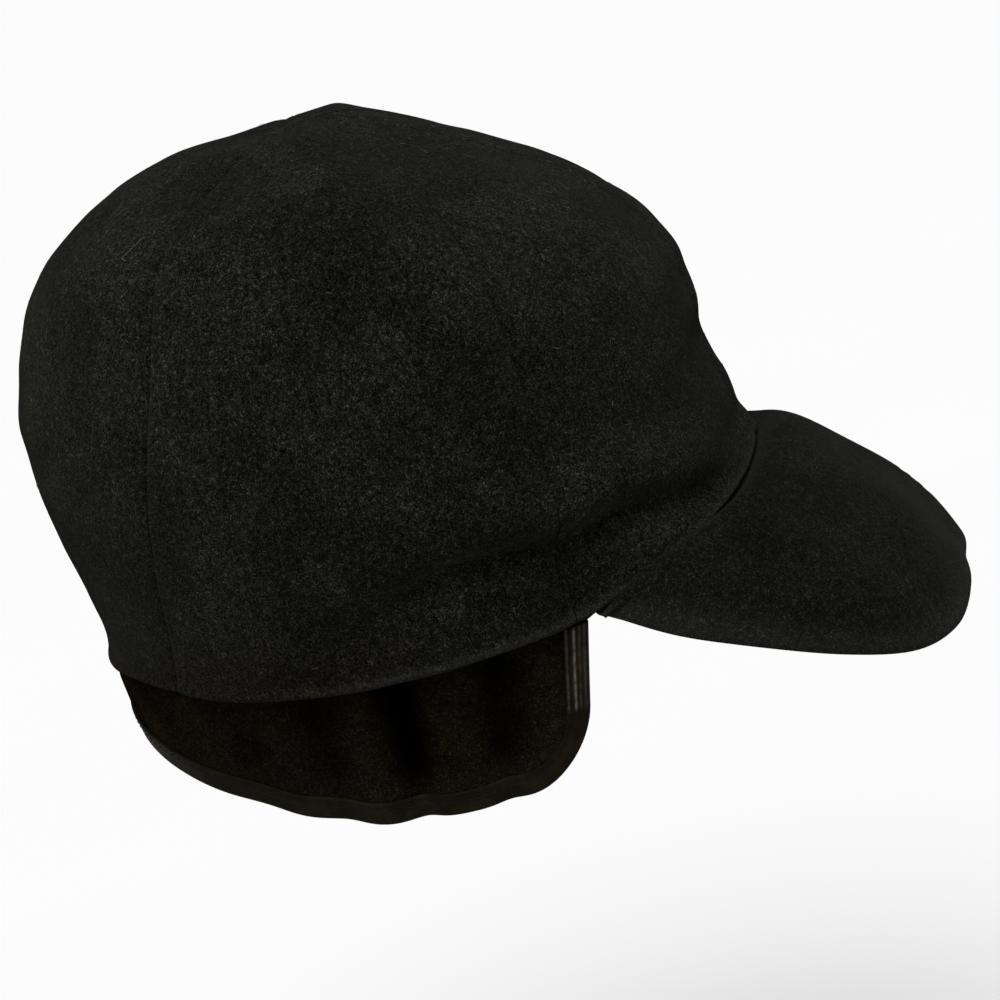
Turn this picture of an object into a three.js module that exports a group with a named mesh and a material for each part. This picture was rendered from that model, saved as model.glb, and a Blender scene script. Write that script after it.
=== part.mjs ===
// Cloth cadet cap with a curved peak and a soft ear flap that hangs below its rim.
// Millimetres. The origin is the middle of the head opening, in the plane of the rim.
// +Z is up, the peak points to -Y, and the wearer's right is -X.
import * as THREE from "three";

// Crown: distances of the outer cloth from the upright middle line, at each height above the rim.
const CROWN_SECTIONS = [
  { height: 0, front: 107, back: 99.5, half: 88 },
  { height: 13, front: 103, back: 98, half: 91 },
  { height: 28, front: 99, back: 100, half: 94 },
  { height: 44.5, front: 97, back: 103, half: 96 },
  { height: 61.5, front: 96.5, back: 106, half: 96 },
  { height: 78.5, front: 90, back: 106.5, half: 93.5 },
  { height: 95, front: 77.5, back: 102.5, half: 89.5 },
  { height: 109, front: 62, back: 97.5, half: 84 },
  { height: 121, front: 44, back: 88.5, half: 76.5 },
  { height: 130.5, front: 27.5, back: 75.5, half: 63.5 },
  { height: 137.5, front: 14.5, back: 61.5, half: 41 },
  { height: 141.5, front: 5.5, back: 41, half: 26 },
  { height: 142.5, front: 0, back: 0, half: 0 },
];
const CROWN_HEIGHT = 142.5;
const APEX_FORWARD = 5.5;
const SQUARENESS_BACK = 2.2;
const SQUARENESS_FRONT = 2.4;
const SQUARE_FRONT_HEIGHT = 70;
const SQUARE_FRONT_POWER = 1.5;
const CLOTH = 2;
const SEAM_GAP = 0.3;
const TIP_PART = 0.991;

// Seams between the six gores, as angles from the front, counted towards the back.
const FRONT_SEAM = 56.5;
const REAR_SEAM_TOP = 118.5;
const REAR_SEAM_SWEEP = 15;
const REAR_SEAM_HEIGHT = 110;
const REAR_SEAM_POWER = 1.5;

// Peak, with its corners at this angle from the front.
const BRIM_CORNER = 52.5;
const BRIM_SEAM_LIFT = 19;
const BRIM_SEAM_POWER = 1.4;

// Free edge of the peak, from the middle of its front towards a corner, the same on both sides.
const BRIM_EDGE = [
  { aside: 0, forward: 158.5, height: -33 },
  { aside: 23, forward: 159, height: -33.5 },
  { aside: 43, forward: 153.5, height: -37 },
  { aside: 60, forward: 141, height: -36 },
  { aside: 72, forward: 121, height: -28.5 },
  { aside: 79, forward: 95.5, height: -17.5 },
  { aside: 79, forward: 78, height: -10.5 },
];
const BRIM_BULGE = 14;
const BRIM_BULGE_FULLNESS = 3.6;
const BRIM_BULGE_END = 6;
const BRIM_THICKNESS = 3.6;
const BRIM_CORNER_THINNING = 2;
const BRIM_CORNER_POWER = 16;
const BRIM_TUCK = 1.1;
const BRIM_UNDER_CROWN = 1;

// How far the free rim lies above its plane beside and behind the peak, the same on both sides.
const RIM_LINE = [
  { angle: 52.5, lift: 0 },
  { angle: 60, lift: -2.2 },
  { angle: 70, lift: -3.4 },
  { angle: 85, lift: -4.7 },
  { angle: 95, lift: -4.7 },
  { angle: 106, lift: -3.8 },
  { angle: 118, lift: -2.4 },
  { angle: 126, lift: -0.8 },
  { angle: 136, lift: 2.4 },
  { angle: 148, lift: 4.4 },
  { angle: 180, lift: 4.5 },
];
const RIM_LINE_FADE = 40;

// Sag crease above the peak and over the temples, the same on both sides.
const CREASE = [
  { angle: 14, height: 1, depth: 0 },
  { angle: 24, height: 6, depth: 3 },
  { angle: 36, height: 14.5, depth: 5 },
  { angle: 49, height: 21.5, depth: 5.8 },
  { angle: 56, height: 21.5, depth: 5.2 },
  { angle: 63, height: 23.5, depth: 5.5 },
  { angle: 74, height: 24, depth: 5 },
  { angle: 84, height: 20.5, depth: 3.8 },
  { angle: 93, height: 16, depth: 1.8 },
  { angle: 102, height: 13, depth: 0 },
];
const CREASE_WIDTH_ABOVE = 4;
const CREASE_WIDTH_BELOW = 7;
const CREASE_FADE = 8;
const CREASE_LIP = 0.45;
const CREASE_LIP_RISE = 11;
const CREASE_LIP_WIDTH = 8;

// Ear flap, measured from the rim down.
const FLAP_FRONT = 58.9;
const FLAP_LEAN = 4.5;
const FLAP_DEPTH_SIDE = 48.5;
const FLAP_DEPTH_BACK = 16;
const FLAP_DEPTH_POWER = 2;
const FLAP_CORNER = 22;
const FLAP_INSET = 2.7;
const FLAP_TAPER = 0.17;
const FLAP_SWELL = 1.8;
const FLAP_SWELL_FROM = 115;
const FLAP_SWELL_FULL = 160;
const FLAP_SWELL_DROP = 4;
const FLAP_SWELL_ABOVE = 4;
const FLAP_THICKNESS = 3;
const FLAP_TUCK = 9;
const FLAP_MEAN_RADIUS = 93;
const FLAP_FOLDS = [
  { angle: 74, depth: 3.2, width: 4.2 },
  { angle: 93.5, depth: 4.6, width: 4.6 },
  { angle: 110.5, depth: 2.8, width: 5.5 },
  { angle: 127, depth: 1.6, width: 7 },
];
const FOLD_FADE = 9;

// Leather edging folded over the flap's free edge.
const BINDING_WIDTH = 6;
const BINDING_LEATHER = 0.9;
const BINDING_GAP = 0.25;
const BINDING_TOP = 2.2;

const COLOURS = { crown: 0x1c1d1a, brim: 0x1a1b19, flap: 0x15110d, binding: 0x120d0a };

const radians = THREE.MathUtils.degToRad;

// Monotone cubic through the rows of a table, after Fritsch and Carlson.
function smoothColumn(places, values) {
  const count = places.length;
  const steps = places.slice(1).map((place, i) => place - places[i]);
  const secants = steps.map((step, i) => (values[i + 1] - values[i]) / step);
  const slopes = values.map((value, i) => {
    if (i === 0) return endSlope(steps[0], steps[1], secants[0], secants[1]);
    if (i === count - 1) return endSlope(steps[i - 1], steps[i - 2], secants[i - 1], secants[i - 2]);
    if (secants[i - 1] * secants[i] <= 0) return 0;
    const before = 2 * steps[i] + steps[i - 1];
    const after = steps[i] + 2 * steps[i - 1];
    return (before + after) / (before / secants[i - 1] + after / secants[i]);
  });
  return (place) => {
    const at = THREE.MathUtils.clamp(place, places[0], places[count - 1]);
    let i = 0;
    while (i < count - 2 && at > places[i + 1]) i += 1;
    const u = (at - places[i]) / steps[i];
    const rise = values[i + 1] - values[i];
    const leave = slopes[i] * steps[i];
    const arrive = slopes[i + 1] * steps[i];
    return values[i] + u * (leave + u * (3 * rise - 2 * leave - arrive + u * (leave + arrive - 2 * rise)));
  };
}

function endSlope(near, far, nearSecant, farSecant) {
  const slope = ((2 * near + far) * nearSecant - near * farSecant) / (near + far);
  if (slope * nearSecant <= 0) return 0;
  if (nearSecant * farSecant <= 0 && Math.abs(slope) > 3 * Math.abs(nearSecant)) return 3 * nearSecant;
  return slope;
}

// The crown's rows are spaced by the length of the mean profile, from 0 at the rim to 1 at the top.
function profileParts() {
  const lengths = [0];
  for (let i = 1; i < CROWN_SECTIONS.length; i += 1) {
    const low = CROWN_SECTIONS[i - 1];
    const high = CROWN_SECTIONS[i];
    const inward = (high.front + high.back - low.front - low.back) / 2;
    lengths.push(lengths[i - 1] + Math.hypot(high.height - low.height, inward));
  }
  return lengths.map((length) => length / lengths[lengths.length - 1]);
}

const PARTS = profileParts();
const crownColumn = (name) => smoothColumn(PARTS, CROWN_SECTIONS.map((row) => row[name]));
const heightAt = crownColumn("height");
const frontAt = crownColumn("front");
const backAt = crownColumn("back");
const halfAt = crownColumn("half");

const creaseAngles = CREASE.map((row) => row.angle);
const creaseHeight = smoothColumn(creaseAngles, CREASE.map((row) => row.height));
const creaseDepth = smoothColumn(creaseAngles, CREASE.map((row) => row.depth));
const rimLineAt = smoothColumn(
  RIM_LINE.map((row) => row.angle),
  RIM_LINE.map((row) => row.lift),
);

// Angles run from 0 at the front to 180 at the back, on the wearer's right. The left is mirrored.
function sectionPoint(front, back, half, angle, squareFront) {
  const forward = Math.cos(radians(angle));
  const aside = Math.sin(radians(angle));
  const reach = Math.max(forward > 0 ? front : back, 1e-6);
  const power = forward > 0 ? squareFront : SQUARENESS_BACK;
  const sum = (Math.abs(forward) / reach) ** power + (Math.abs(aside) / Math.max(half, 1e-6)) ** power;
  const radius = sum ** (-1 / power);
  return new THREE.Vector2(-radius * aside, -radius * forward);
}

function squareFrontAt(height) {
  const share = THREE.MathUtils.clamp(1 - height / SQUARE_FRONT_HEIGHT, 0, 1);
  return SQUARENESS_BACK + (SQUARENESS_FRONT - SQUARENESS_BACK) * share ** SQUARE_FRONT_POWER;
}

// Height of the peak's seam over the rim's plane.
function seamLift(angle) {
  const share = Math.min(Math.abs(angle) / BRIM_CORNER, 1);
  return BRIM_SEAM_LIFT * (1 - share ** BRIM_SEAM_POWER);
}

// The rim's line dies out with the height above it.
function rimLift(angle, height) {
  return rimLineAt(Math.abs(angle)) * Math.max(1 - height / RIM_LINE_FADE, 0) ** 2;
}

function crownSmooth(angle, part) {
  const height = heightAt(part);
  const risen = height / CROWN_HEIGHT;
  const plan = sectionPoint(frontAt(part), backAt(part), halfAt(part), angle, squareFrontAt(height));
  const lift = seamLift(angle) * (1 - risen) + rimLift(angle, height);
  return new THREE.Vector3(plan.x, plan.y - APEX_FORWARD * risen, height + lift);
}

// Outward normal of a surface given as point(across, along), by central differences.
function surfaceNormal(point, across, along, stepAcross, stepAlong) {
  const sideways = point(across + stepAcross, along).sub(point(across - stepAcross, along));
  const upward = point(across, along + stepAlong).sub(point(across, along - stepAlong));
  return upward.cross(sideways).normalize();
}

// How far the sag crease moves the cloth out, in millimetres.
function creaseMove(angle, height) {
  const depth = creaseDepth(angle);
  const above = height - creaseHeight(angle);
  const width = above > 0 ? CREASE_WIDTH_ABOVE : CREASE_WIDTH_BELOW;
  const groove = -Math.exp(-((above / width) ** 2));
  const lip = CREASE_LIP * Math.exp(-(((above - CREASE_LIP_RISE) / CREASE_LIP_WIDTH) ** 2));
  const fade = THREE.MathUtils.smoothstep(height, 0, CREASE_FADE);
  return fade * depth * (groove + lip);
}

const CROWN_STEP = { angle: 0.2, part: 0.002 };

function crownPoint(angle, part, inset) {
  const within = THREE.MathUtils.clamp(part, CROWN_STEP.part, 1 - CROWN_STEP.part);
  const normal = surfaceNormal(crownSmooth, angle, within, CROWN_STEP.angle, CROWN_STEP.part);
  return crownSmooth(angle, part).addScaledVector(normal, creaseMove(angle, heightAt(part)) - inset);
}

function rearSeam(part) {
  const share = THREE.MathUtils.clamp(1 - heightAt(part) / REAR_SEAM_HEIGHT, 0, 1);
  return REAR_SEAM_TOP + REAR_SEAM_SWEEP * share ** REAR_SEAM_POWER;
}

// Closed body between an outer and an inner grid of the same size, with its four edges walled.
function shellGeometry(columns, rows, outerPoint, innerPoint) {
  const positions = [];
  for (const point of [outerPoint, innerPoint]) {
    for (let row = 0; row <= rows; row += 1) {
      for (let column = 0; column <= columns; column += 1) {
        positions.push(...point(column / columns, row / rows).toArray());
      }
    }
  }
  const width = columns + 1;
  const layer = width * (rows + 1);
  const outer = (column, row) => row * width + column;
  const inner = (column, row) => layer + outer(column, row);
  const faces = [];
  const quad = (a, b, c, d) => faces.push(a, b, c, a, c, d);
  for (let row = 0; row < rows; row += 1) {
    for (let column = 0; column < columns; column += 1) {
      quad(outer(column, row), outer(column, row + 1), outer(column + 1, row + 1), outer(column + 1, row));
      quad(inner(column, row), inner(column + 1, row), inner(column + 1, row + 1), inner(column, row + 1));
    }
    quad(outer(0, row), inner(0, row), inner(0, row + 1), outer(0, row + 1));
    quad(outer(columns, row), outer(columns, row + 1), inner(columns, row + 1), inner(columns, row));
  }
  for (let column = 0; column < columns; column += 1) {
    quad(outer(column, 0), outer(column + 1, 0), inner(column + 1, 0), inner(column, 0));
    quad(outer(column, rows), inner(column, rows), inner(column + 1, rows), outer(column + 1, rows));
  }
  return closedGeometry(positions, faces);
}

function closedGeometry(positions, faces) {
  const geometry = new THREE.BufferGeometry();
  geometry.setAttribute("position", new THREE.Float32BufferAttribute(positions, 3));
  geometry.setIndex(faces);
  geometry.computeVertexNormals();
  return geometry;
}

// The same body on the other side of the cap, with its faces turned to point out again.
function mirroredGeometry(geometry) {
  const positions = Array.from(geometry.attributes.position.array);
  for (let i = 0; i < positions.length; i += 3) positions[i] = -positions[i];
  const faces = Array.from(geometry.index.array);
  for (let i = 0; i < faces.length; i += 3) [faces[i], faces[i + 1]] = [faces[i + 1], faces[i]];
  return closedGeometry(positions, faces);
}

function clothMaterial(color, roughness) {
  return new THREE.MeshStandardMaterial({ color, roughness, metalness: 0 });
}

function namedMesh(name, geometry, material) {
  const mesh = new THREE.Mesh(geometry, material);
  mesh.name = name;
  return mesh;
}

const GORES = [
  { name: "front", from: () => 0, to: () => FRONT_SEAM },
  { name: "side", from: () => FRONT_SEAM, to: rearSeam },
  { name: "back", from: rearSeam, to: () => 180 },
];
const GORE_COLUMNS = 10;
const GORE_ROWS = 21;
const ROW_CROWDING = 1.35;

// One gore. Its rows lie closer together near the rim, where the crease is.
function goreGeometry(gore) {
  const point = (inset) => (across, along) => {
    const part = TIP_PART * along ** ROW_CROWDING;
    const plan = crownSmooth((gore.from(part) + gore.to(part)) / 2, part);
    const radius = Math.hypot(plan.x, plan.y + (APEX_FORWARD * heightAt(part)) / CROWN_HEIGHT);
    const gap = THREE.MathUtils.radToDeg(SEAM_GAP / 2 / radius);
    const angle = THREE.MathUtils.lerp(gore.from(part) + gap, gore.to(part) - gap, across);
    return crownPoint(angle, part, inset);
  };
  return shellGeometry(GORE_COLUMNS, GORE_ROWS, point(0), point(CLOTH));
}

// The peak's free edge as one curve, from the corner on the left to the corner on the right.
function brimEdgeCurve() {
  const corner = crownSmooth(BRIM_CORNER, 0);
  const half = BRIM_EDGE.map((row) => new THREE.Vector3(-row.aside, -row.forward, row.height));
  half.push(new THREE.Vector3(corner.x, corner.y, 0));
  const others = half.slice(1).reverse().map((point) => new THREE.Vector3(-point.x, point.y, point.z));
  return new THREE.CatmullRomCurve3([...others, ...half], false, "catmullrom");
}

const BRIM_FREE_EDGE = brimEdgeCurve();

// Peak: share runs from -1 on the left to 1 on the right, out from 0 at the seam to 1 at the free edge.
function brimPoint(share, out) {
  const seam = crownSmooth(Math.abs(share) * BRIM_CORNER, 0);
  if (share < 0) seam.x = -seam.x;
  const point = seam.lerp(BRIM_FREE_EDGE.getPoint((share + 1) / 2), out);
  const along = 2 * out - 1;
  const bulge = BRIM_BULGE * (1 - Math.abs(along) ** BRIM_BULGE_FULLNESS) * (1 - share ** BRIM_BULGE_END);
  point.z += bulge - BRIM_UNDER_CROWN;
  return point;
}

const BRIM_COLUMNS = 30;
const BRIM_ROWS = 8;
const NORMAL_SHARE = 0.96;
const BRIM_STEP = 0.01;

// The first row is tucked in under the crown's edge. Columns crowd together at the corners.
function brimGeometry() {
  const shareAt = (across) => Math.sin(THREE.MathUtils.lerp(-Math.PI / 2, Math.PI / 2, across));
  const outAt = (along) => Math.max((along * BRIM_ROWS - 1) / (BRIM_ROWS - 1), 0);
  const top = (across, along) => {
    const point = brimPoint(shareAt(across), outAt(along));
    if (along > 0) return point;
    const inward = new THREE.Vector2(point.x, point.y).setLength(BRIM_TUCK);
    return point.sub(new THREE.Vector3(inward.x, inward.y, 0));
  };
  const bottom = (across, along) => {
    const thickness = BRIM_THICKNESS - BRIM_CORNER_THINNING * shareAt(across) ** BRIM_CORNER_POWER;
    const share = THREE.MathUtils.clamp(shareAt(across), -NORMAL_SHARE, NORMAL_SHARE);
    const out = THREE.MathUtils.clamp(outAt(along), BRIM_STEP, 1 - BRIM_STEP);
    const normal = surfaceNormal(brimPoint, share, out, BRIM_STEP, BRIM_STEP);
    if (normal.z < 0) normal.negate();
    return top(across, along).addScaledVector(normal, -thickness);
  };
  return shellGeometry(BRIM_COLUMNS, BRIM_ROWS, (a, b) => top(a, 1 - b), (a, b) => bottom(a, 1 - b));
}

// Ear flap: angle runs from FLAP_FRONT round the back to 360 - FLAP_FRONT, drop down from the rim.
function flapDepth(angle) {
  const behind = THREE.MathUtils.clamp(Math.min(angle, 360 - angle) - 90, 0, 90);
  const share = Math.sin(radians(behind)) ** FLAP_DEPTH_POWER;
  return THREE.MathUtils.lerp(FLAP_DEPTH_SIDE, FLAP_DEPTH_BACK, share);
}

function flapFoldMove(angle, drop) {
  const near = Math.min(angle, 360 - angle);
  const fade = THREE.MathUtils.clamp(drop / FOLD_FADE, 0, 1);
  let moves = 0;
  for (const fold of FLAP_FOLDS) {
    moves -= fold.depth * Math.exp(-(((near - fold.angle) / fold.width) ** 2));
  }
  return fade * moves;
}

// Below the rim the flap swells out again round the back of the head.
function flapSwell(angle, drop) {
  const share = THREE.MathUtils.smoothstep(Math.min(angle, 360 - angle), FLAP_SWELL_FROM, FLAP_SWELL_FULL);
  return FLAP_SWELL * share * (1 - Math.exp(-Math.max(drop + FLAP_SWELL_ABOVE, 0) / FLAP_SWELL_DROP));
}

function flapSmooth(angle, drop) {
  const lean = 1 + (FLAP_LEAN * (1 - drop / FLAP_DEPTH_SIDE)) / (180 - FLAP_FRONT);
  const turned = 180 + (angle - 180) * lean;
  const near = Math.min(turned, 360 - turned);
  const part = partAtHeight(Math.max(-drop, 0));
  const taper = FLAP_TAPER * Math.max(drop, 0);
  const inset = FLAP_INSET + taper - flapFoldMove(angle, drop) - flapSwell(angle, drop);
  const square = squareFrontAt(Math.max(-drop, 0));
  const [front, back, half] = [frontAt, backAt, halfAt].map((column) => column(part) - inset);
  const plan = sectionPoint(front, back, half, near, square);
  return new THREE.Vector3(turned > 180 ? -plan.x : plan.x, plan.y, -drop);
}

const HALVINGS = 25;

// The crown's part at a height above the rim, by halving.
function partAtHeight(height) {
  let low = 0;
  let high = 1;
  for (let i = 0; i < HALVINGS; i += 1) {
    const middle = (low + high) / 2;
    if (heightAt(middle) < height) low = middle;
    else high = middle;
  }
  return (low + high) / 2;
}

const FLAP_STEP = { angle: 0.3, rise: -0.3 };

function flapPoint(angle, drop, offset) {
  const normal = surfaceNormal(flapSmooth, angle, drop, FLAP_STEP.angle, FLAP_STEP.rise);
  return flapSmooth(angle, drop).addScaledVector(normal, offset);
}

// Drop of the flap's free edge, with its front corners rounded.
function flapEdgeDrop(angle) {
  const along = radians(Math.min(angle, 360 - angle) - FLAP_FRONT) * FLAP_MEAN_RADIUS;
  const inCorner = Math.max(FLAP_CORNER - along, 0);
  const cut = FLAP_CORNER - Math.sqrt(Math.max(FLAP_CORNER ** 2 - inCorner ** 2, 0));
  return flapDepth(angle) - cut;
}

const FLAP_ROWS = 7;
const FRONT_STEPS = 6;
const CORNER_STEPS = 7;
const BACK_STEPS = 33;

// Angles of the flap's columns, closer together round the front corners.
function flapColumnAngles() {
  const cornerSpan = THREE.MathUtils.radToDeg(FLAP_CORNER / FLAP_MEAN_RADIUS);
  const half = [];
  for (let i = 0; i < CORNER_STEPS; i += 1) {
    half.push(FLAP_FRONT + cornerSpan * (1 - Math.cos((i / CORNER_STEPS) * (Math.PI / 2))));
  }
  for (let i = 0; i <= BACK_STEPS; i += 1) {
    half.push(THREE.MathUtils.lerp(FLAP_FRONT + cornerSpan, 180, i / BACK_STEPS));
  }
  const others = half.slice(0, -1).reverse();
  return [...half, ...others.map((angle) => 360 - angle)];
}

const FLAP_ANGLES = flapColumnAngles();

function flapGeometry() {
  const columns = FLAP_ANGLES.length - 1;
  const point = (offset) => (across, along) => {
    const angle = FLAP_ANGLES[Math.round(across * columns)];
    const drop = THREE.MathUtils.lerp(flapEdgeDrop(angle), -FLAP_TUCK, along);
    return flapPoint(angle, drop, offset);
  };
  return shellGeometry(columns, FLAP_ROWS, point(0), point(-FLAP_THICKNESS));
}

// The flap's free edge, from the rim down its front, round below and up the other front.
function flapEdge() {
  const cornerDrop = flapEdgeDrop(FLAP_FRONT);
  const front = [];
  for (let i = 0; i < FRONT_STEPS; i += 1) {
    const drop = THREE.MathUtils.lerp(BINDING_TOP, cornerDrop, i / FRONT_STEPS);
    front.push({ angle: FLAP_FRONT, drop });
  }
  const lower = FLAP_ANGLES.map((angle) => ({ angle, drop: flapEdgeDrop(angle) }));
  const otherFront = front.map((spot) => ({ angle: 360 - spot.angle, drop: spot.drop })).reverse();
  return [...front, ...lower, ...otherFront];
}

// Edging: a folded strip whose two legs lie on the flap's outer and inner faces.
function bindingGeometry() {
  const edge = flapEdge();
  const outside = BINDING_GAP + BINDING_LEATHER;
  const back = -FLAP_THICKNESS;
  const profile = [
    { inward: BINDING_WIDTH, offset: BINDING_GAP },
    { inward: BINDING_WIDTH, offset: outside },
    { inward: -outside, offset: outside },
    { inward: -outside, offset: back - outside },
    { inward: BINDING_WIDTH, offset: back - outside },
    { inward: BINDING_WIDTH, offset: back - BINDING_GAP },
    { inward: -BINDING_GAP, offset: back - BINDING_GAP },
    { inward: -BINDING_GAP, offset: BINDING_GAP },
  ];
  const positions = [];
  edge.forEach((spot, i) => {
    const before = edge[Math.max(i - 1, 0)];
    const after = edge[Math.min(i + 1, edge.length - 1)];
    const along = radians(after.angle - before.angle) * FLAP_MEAN_RADIUS;
    const down = after.drop - before.drop;
    const length = Math.hypot(along, down);
    const degreesInward = THREE.MathUtils.radToDeg(down / length / FLAP_MEAN_RADIUS);
    for (const corner of profile) {
      const angle = spot.angle + corner.inward * degreesInward;
      const drop = spot.drop - (corner.inward * along) / length;
      positions.push(...flapPoint(angle, drop, corner.offset).toArray());
    }
  });
  return sweptGeometry(positions, edge.length, profile.map((corner) => [corner.inward, corner.offset]));
}

// Closed body from rings of the same outline, with both ends capped.
function sweptGeometry(positions, rings, outline) {
  const sides = outline.length;
  const faces = [];
  for (let ring = 0; ring < rings - 1; ring += 1) {
    for (let side = 0; side < sides; side += 1) {
      const next = (side + 1) % sides;
      const here = ring * sides;
      const there = here + sides;
      faces.push(here + side, there + side, there + next, here + side, there + next, here + next);
    }
  }
  const flat = outline.map(([x, y]) => new THREE.Vector2(x, y));
  const last = (rings - 1) * sides;
  for (const [a, b, c] of THREE.ShapeUtils.triangulateShape(flat, [])) {
    faces.push(a, b, c);
    faces.push(last + a, last + c, last + b);
  }
  return closedGeometry(positions, faces);
}

const cap = new THREE.Group();

for (const gore of GORES) {
  const geometry = goreGeometry(gore);
  const name = `crown_panel_${gore.name}`;
  cap.add(namedMesh(`${name}_right`, geometry, clothMaterial(COLOURS.crown, 1)));
  cap.add(namedMesh(`${name}_left`, mirroredGeometry(geometry), clothMaterial(COLOURS.crown, 1)));
}
cap.add(namedMesh("brim", brimGeometry(), clothMaterial(COLOURS.brim, 0.95)));
cap.add(namedMesh("ear_flap", flapGeometry(), clothMaterial(COLOURS.flap, 1)));
cap.add(namedMesh("flap_binding", bindingGeometry(), clothMaterial(COLOURS.binding, 0.5)));

export default cap;
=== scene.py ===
"""Earflap cadet cap, dressed: napped wool crown and peak, soft ear flap, leather edging, stitches and lint.

Shapes are worked out in millimetres from the same named sizes as the solids. Meshes are made in metres.
Angles run round the cap in degrees: 0 at the front, 90 over the wearer's right ear, -90 over the left.
"""

import math

import bpy
import numpy as np
from mathutils import Matrix, Vector


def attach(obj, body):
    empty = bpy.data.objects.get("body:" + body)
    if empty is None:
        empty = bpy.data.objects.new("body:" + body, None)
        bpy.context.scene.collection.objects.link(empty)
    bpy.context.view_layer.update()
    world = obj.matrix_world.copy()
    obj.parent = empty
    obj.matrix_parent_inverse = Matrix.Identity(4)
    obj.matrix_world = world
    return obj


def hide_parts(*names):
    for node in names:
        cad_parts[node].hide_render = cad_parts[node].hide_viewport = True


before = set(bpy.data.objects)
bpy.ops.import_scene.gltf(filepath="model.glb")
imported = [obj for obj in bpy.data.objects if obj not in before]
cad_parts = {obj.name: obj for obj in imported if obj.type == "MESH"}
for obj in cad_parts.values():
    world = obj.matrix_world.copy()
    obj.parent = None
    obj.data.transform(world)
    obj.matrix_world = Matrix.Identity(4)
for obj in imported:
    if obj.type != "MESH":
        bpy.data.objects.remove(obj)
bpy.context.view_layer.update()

MM = 0.001
LEAST = 1e-6

# Crown: distances of the outer cloth from the upright middle line, at each height above the rim.
CROWN_SECTIONS = [
    {"height": 0, "front": 107, "back": 99.5, "half": 88},
    {"height": 13, "front": 103, "back": 98, "half": 91},
    {"height": 28, "front": 99, "back": 100, "half": 94},
    {"height": 44.5, "front": 97, "back": 103, "half": 96},
    {"height": 61.5, "front": 96.5, "back": 106, "half": 96},
    {"height": 78.5, "front": 90, "back": 106.5, "half": 93.5},
    {"height": 95, "front": 77.5, "back": 102.5, "half": 89.5},
    {"height": 109, "front": 62, "back": 97.5, "half": 84},
    {"height": 121, "front": 44, "back": 88.5, "half": 76.5},
    {"height": 130.5, "front": 27.5, "back": 75.5, "half": 63.5},
    {"height": 137.5, "front": 14.5, "back": 61.5, "half": 41},
    {"height": 141.5, "front": 5.5, "back": 41, "half": 26},
    {"height": 142.5, "front": 0, "back": 0, "half": 0},
]
CROWN_HEIGHT = 142.5
APEX_FORWARD = 5.5
SQUARENESS_BACK = 2.2
SQUARENESS_FRONT = 2.4
SQUARE_FRONT_HEIGHT = 70
SQUARE_FRONT_POWER = 1.5
CLOTH = 2

FRONT_SEAM = 56.5
REAR_SEAM_TOP = 118.5
REAR_SEAM_SWEEP = 15
REAR_SEAM_HEIGHT = 110
REAR_SEAM_POWER = 1.5
SEAM_GAP = 0.3

BRIM_CORNER = 52.5
BRIM_SEAM_LIFT = 19
BRIM_SEAM_POWER = 1.4
BRIM_EDGE = [
    {"aside": 0, "forward": 158.5, "height": -33},
    {"aside": 23, "forward": 159, "height": -33.5},
    {"aside": 43, "forward": 153.5, "height": -37},
    {"aside": 60, "forward": 141, "height": -36},
    {"aside": 72, "forward": 121, "height": -28.5},
    {"aside": 79, "forward": 95.5, "height": -17.5},
    {"aside": 79, "forward": 78, "height": -10.5},
]
BRIM_BULGE = 14
BRIM_BULGE_FULLNESS = 3.6
BRIM_BULGE_END = 6
BRIM_THICKNESS = 3.6
BRIM_CORNER_THINNING = 2
BRIM_CORNER_POWER = 16
BRIM_UNDER_CROWN = 1.0

# How far the free rim lies above its plane beside and behind the peak.
RIM_LINE = [
    {"angle": 52.5, "lift": 0},
    {"angle": 60, "lift": -2.2},
    {"angle": 70, "lift": -3.4},
    {"angle": 85, "lift": -4.7},
    {"angle": 95, "lift": -4.7},
    {"angle": 106, "lift": -3.8},
    {"angle": 118, "lift": -2.4},
    {"angle": 126, "lift": -0.8},
    {"angle": 136, "lift": 2.4},
    {"angle": 148, "lift": 4.4},
    {"angle": 180, "lift": 4.5},
]
RIM_LINE_FADE = 40

# Sag crease above the peak and over the temples.
CREASE = [
    {"angle": 14, "height": 1, "depth": 0},
    {"angle": 24, "height": 6, "depth": 3},
    {"angle": 36, "height": 14.5, "depth": 5},
    {"angle": 49, "height": 21.5, "depth": 5.8},
    {"angle": 56, "height": 21.5, "depth": 5.2},
    {"angle": 63, "height": 23.5, "depth": 5.5},
    {"angle": 74, "height": 24, "depth": 5},
    {"angle": 84, "height": 20.5, "depth": 3.8},
    {"angle": 93, "height": 16, "depth": 1.8},
    {"angle": 102, "height": 13, "depth": 0},
]
CREASE_WIDTH_ABOVE = 4
CREASE_WIDTH_BELOW = 7
CREASE_FADE = 8
CREASE_LIP = 0.45
CREASE_LIP_RISE = 11
CREASE_LIP_WIDTH = 8

FLAP_FRONT = 58.9
FLAP_LEAN = 4.5
FLAP_DEPTH_SIDE = 48.5
FLAP_DEPTH_BACK = 16
FLAP_DEPTH_POWER = 2
FLAP_CORNER = 22
FLAP_INSET = 2.7
FLAP_TAPER = 0.17
FLAP_SWELL = 1.8
FLAP_SWELL_FROM = 115
FLAP_SWELL_FULL = 160
FLAP_SWELL_DROP = 4
FLAP_SWELL_ABOVE = 4
FLAP_THICKNESS = 3
FLAP_TUCK = 9
FLAP_MEAN_RADIUS = 93
FLAP_FOLDS = [
    {"angle": 74, "depth": 3.2, "width": 4.2},
    {"angle": 93.5, "depth": 4.6, "width": 4.6},
    {"angle": 110.5, "depth": 2.8, "width": 5.5},
    {"angle": 127, "depth": 1.6, "width": 7},
]
FOLD_FADE = 9

BINDING_WIDTH = 6
BINDING_LEATHER = 0.9
BINDING_GAP = 0.25
BINDING_TOP = 2.2


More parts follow.
